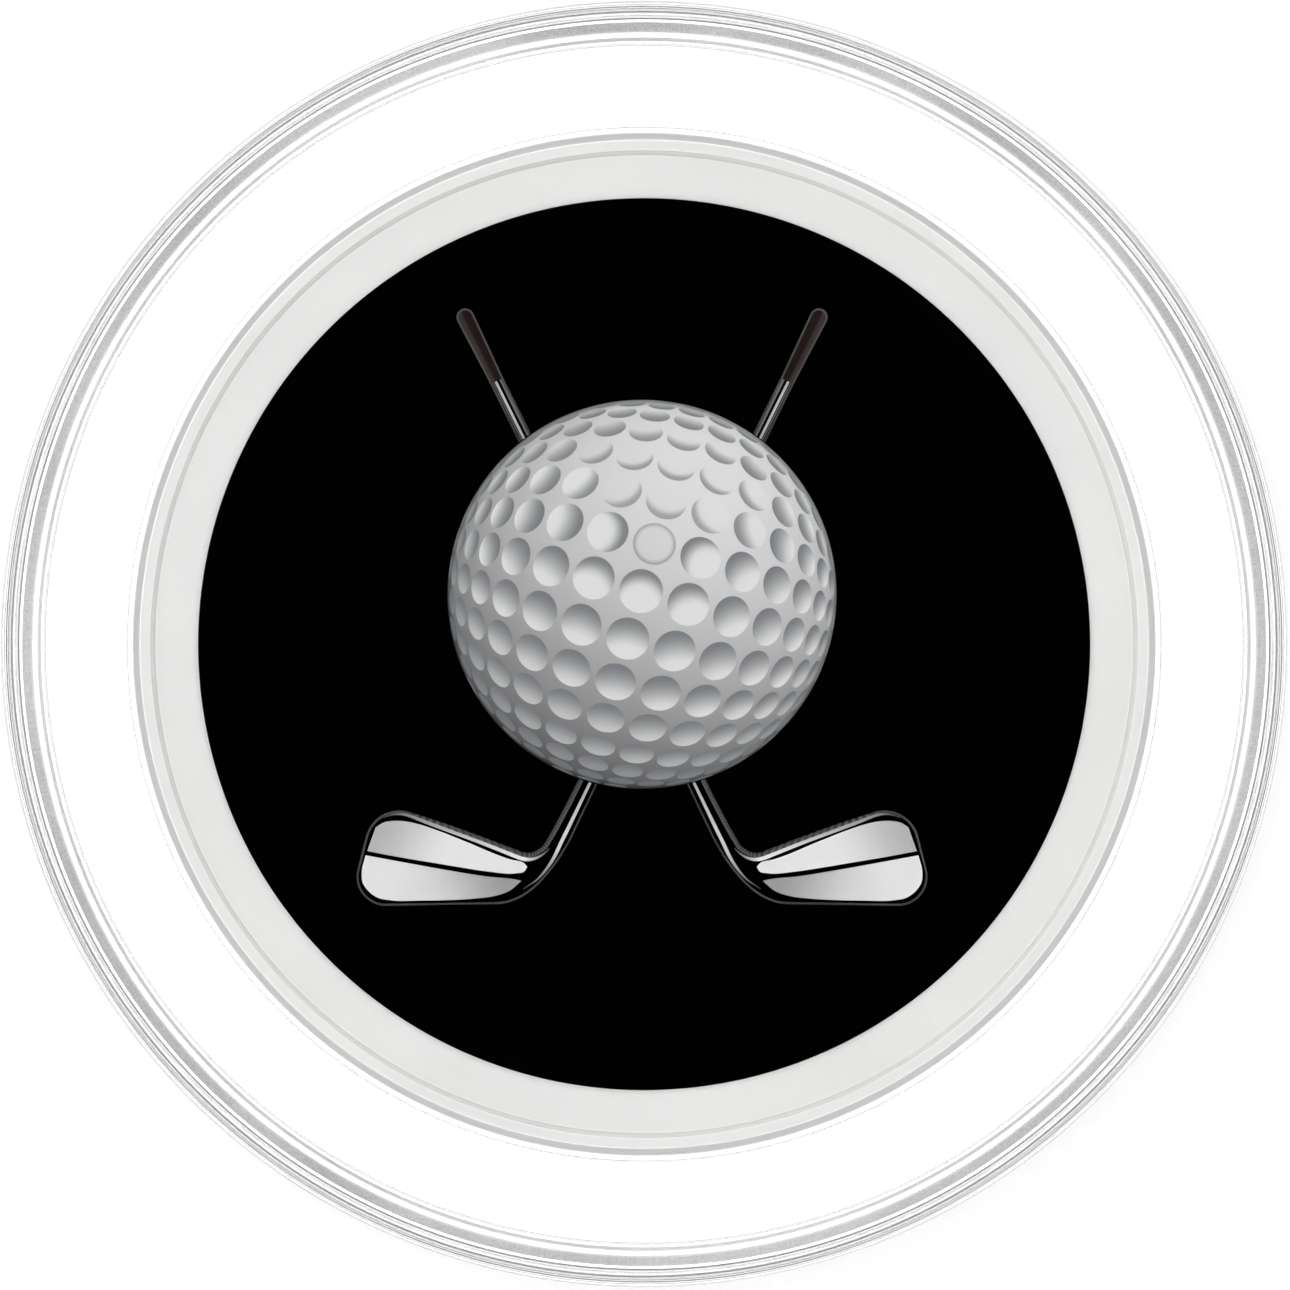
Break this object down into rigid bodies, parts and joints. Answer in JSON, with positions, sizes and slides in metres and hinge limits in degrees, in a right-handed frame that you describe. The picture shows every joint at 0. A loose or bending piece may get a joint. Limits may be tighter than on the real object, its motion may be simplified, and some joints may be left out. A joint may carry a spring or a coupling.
{
  "type": "golf ball marker",
  "caption": "Round metal golf ball marker with a printed label of a ball and crossed irons, lying in a clear push-together coin capsule.",
  "frame": {"origin": "centre of the capsule's foot ring, on the plane that it stands on", "axes": "+Z out of the printed face, +Y towards the top of the printed motif, +X to its right"},
  "size_m": [0.0302, 0.0302, 0.0048],
  "materials": {
    "clear_acrylic": "water-clear, polished",
    "satin_metal": "satin nickel plate on a struck steel disc",
    "adhesive": "clear pressure-sensitive adhesive",
    "white_film": "white vinyl film",
    "black_ink": "dense matt black ink",
    "ball_ink": "shaded grey and white ink",
    "iron_ink": "shaded grey and white ink"
  },
  "bodies": {
    "base": {"capsule_base": "clear_acrylic"},
    "marker": {"marker_coin": "satin_metal", "label_adhesive": "adhesive", "label_film": "white_film", "print_ground": "black_ink", "print_ball": "ball_ink", "print_iron_left": "iron_ink", "print_iron_right": "iron_ink"},
    "lid": {"capsule_lid": "clear_acrylic"}
  },
  "joints": [
    {"name": "lid_lift", "type": "slide", "parent": "base", "child": "lid", "axis": [0, 0, 1], "range_m": [0, 0.016]},
    {"name": "marker_lift", "type": "slide", "parent": "base", "child": "marker", "axis": [0, 0, 1], "range_m": [0, 0.008]}
  ],
  "couplings": [
    {"joint": "marker_lift", "follows": "lid_lift", "ratio": 0.5}
  ]
}
